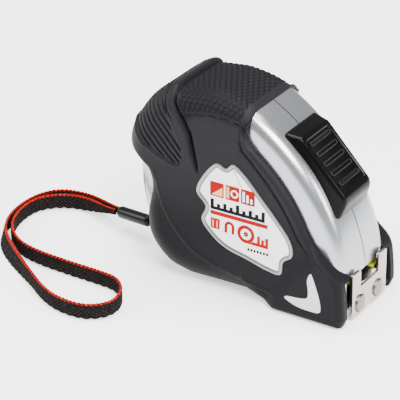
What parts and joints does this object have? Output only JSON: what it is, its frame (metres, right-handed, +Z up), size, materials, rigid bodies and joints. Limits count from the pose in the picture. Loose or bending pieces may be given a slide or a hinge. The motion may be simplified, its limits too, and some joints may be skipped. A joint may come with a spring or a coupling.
{
  "type": "tape measure",
  "caption": "Pocket tape measure with a silver case, dark rubber grip, sliding blade lock, magnetic hook, belt clip and a woven wrist strap",
  "frame": {"origin": "on the flat underside, at the middle of the hard case's width, 51 mm ahead of the rearmost rubber", "axes": "+X towards the hook, -Y the label side, +Z up"},
  "size_m": [0.1508, 0.0914, 0.0777],
  "materials": {
    "case_silver": "satin metallic silver paint on ABS",
    "grip_rubber": "matt charcoal soft-touch rubber",
    "label_white": "printed white face with a grey rim",
    "badge_silver": "light silver-grey",
    "dark_plastic": "moulded, semi-matt",
    "gloss_black": "polished black",
    "steel": "plain steel",
    "nickel": "nickel plate, satin",
    "blade_yellow": "yellow lacquer over spring steel",
    "strap_dark": "woven polyester"
  },
  "bodies": {
    "case": {"near_shell": "case_silver", "far_shell": "case_silver", "near_grip": "grip_rubber", "far_grip": "grip_rubber", "label_plate": "label_white", "near_foot_badge": "badge_silver", "far_foot_badge": "badge_silver", "mouth_bumper": "grip_rubber", "blade_guide": "dark_plastic", "arbor": "steel", "case_screw_rear_top": "steel", "case_screw_rear_bottom": "steel", "case_screw_front": "steel", "belt_clip": "steel", "clip_screw": "steel", "strap_pin": "steel", "strap_cord": "strap_dark", "strap_ferrule": "gloss_black", "strap_webbing": "strap_dark"},
    "reel": {"reel_drum": "dark_plastic", "reel_cap": "dark_plastic", "power_spring": "steel", "blade_coil": "blade_yellow"},
    "blade": {"blade": "blade_yellow", "hook_rivet_1": "nickel", "hook_rivet_2": "nickel", "hook_rivet_3": "nickel"},
    "hook": {"hook": "nickel", "near_magnet": "nickel", "far_magnet": "nickel"},
    "lock": {"lock_button": "gloss_black", "lock_arm": "dark_plastic", "brake_pad": "grip_rubber"}
  },
  "joints": [
    {"name": "reel_spin", "type": "hinge", "parent": "case", "child": "reel", "pos_m": [-0.012, 0, 0.0423], "axis": [0, -1, 0], "range_deg": [0, 126], "stiffness_Nm_per_rad": 0.02},
    {"name": "blade_slide", "type": "slide", "parent": "case", "child": "blade", "axis": [1, 0, 0], "range_m": [0, 0.06]},
    {"name": "hook_play", "type": "slide", "parent": "blade", "child": "hook", "axis": [1, 0, 0], "range_m": [0, 0.0012]},
    {"name": "lock_slide", "type": "hinge", "parent": "case", "child": "lock", "pos_m": [-0.0375, 0, 0.0045], "axis": [0, 1, 0], "range_deg": [0, 4.5]}
  ],
  "couplings": [
    {"joint": "blade_slide", "follows": "reel_spin", "m_per_rad": 0.02717}
  ]
}
